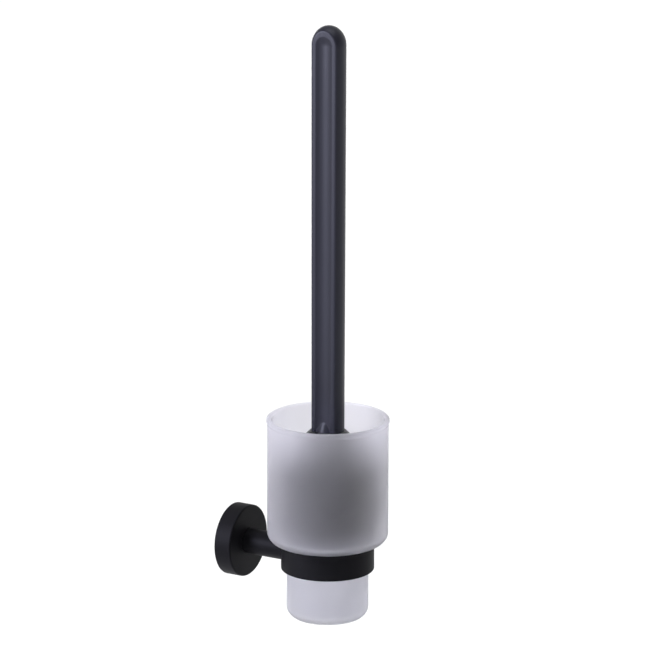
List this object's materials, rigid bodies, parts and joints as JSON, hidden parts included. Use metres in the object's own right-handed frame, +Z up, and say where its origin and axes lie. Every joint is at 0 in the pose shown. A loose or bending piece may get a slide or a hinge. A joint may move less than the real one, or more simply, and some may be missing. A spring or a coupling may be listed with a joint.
{
  "type": "toilet brush holder",
  "caption": "Wall-mounted toilet brush holder: round flange and arm, ring, stepped frosted glass cup, and a bristle brush with a tall grooved handle.",
  "frame": {"origin": "centre of the flange's back face, on the wall plane", "axes": "+Y into the wall, +Z up along the brush handle; the holder stands out of the wall along -Y; +X to the right seen from the room"},
  "size_m": [0.0842, 0.1181, 0.4157],
  "materials": {
    "black_coat": "matte black powder coat",
    "zinc_plate": "dull zinc casting",
    "steel_screw": "stainless steel, satin",
    "steel_anchor": "drawn wire",
    "liner_plastic": "translucent soft plastic",
    "frosted_glass": "satin frosted glass",
    "hub_plastic": "moulded black plastic, semi-gloss",
    "bristle": "black nylon bristles",
    "seal_rubber": "matt rubber",
    "handle_plastic": "satin blue-black plastic with fine grain"
  },
  "bodies": {
    "wall_mount": {"wall_plate": "zinc_plate", "flange_cover": "black_coat", "grub_screw": "steel_screw", "arm": "black_coat", "arm_screw": "steel_screw", "arm_washer": "steel_screw", "ring": "black_coat", "ring_screw": "steel_screw"},
    "liner": {"ring_liner": "liner_plastic"},
    "cup": {"glass_cup": "frosted_glass"},
    "brush_head": {"brush_body": "hub_plastic", "tuft_row_01": "bristle", "tuft_row_02": "bristle", "tuft_row_03": "bristle", "tuft_row_04": "bristle", "tuft_row_05": "bristle", "tuft_row_06": "bristle", "tuft_row_07": "bristle", "tuft_row_08": "bristle", "tuft_row_09": "bristle", "tuft_row_10": "bristle", "tuft_row_11": "bristle", "tuft_row_12": "bristle", "tuft_nose": "bristle", "tuft_anchors": "steel_anchor"},
    "seal": {"seal_washer": "seal_rubber"},
    "brush_handle": {"handle": "handle_plastic", "head_stud": "steel_screw"}
  },
  "joints": [
    {"name": "cup_turn", "type": "hinge", "parent": "wall_mount", "child": "liner", "pos_m": [0, -0.076, 0], "axis": [0, 0, 1], "continuous": true},
    {"name": "cup_lift", "type": "slide", "parent": "liner", "child": "cup", "axis": [0, 0, 1], "range_m": [0, 0.06]},
    {"name": "brush_lift", "type": "slide", "parent": "cup", "child": "brush_head", "axis": [0, 0, 1], "range_m": [0, 0.13]},
    {"name": "thread_rise", "type": "slide", "parent": "brush_head", "child": "seal", "axis": [0, 0, 1], "range_m": [0, 0.0098]},
    {"name": "handle_unscrew", "type": "hinge", "parent": "seal", "child": "brush_handle", "pos_m": [0, -0.076, 0.08898], "axis": [0, 0, 1], "range_deg": [0, 2790]}
  ],
  "couplings": [
    {"joint": "thread_rise", "follows": "handle_unscrew", "m_per_rad": 0.00019894}
  ]
}
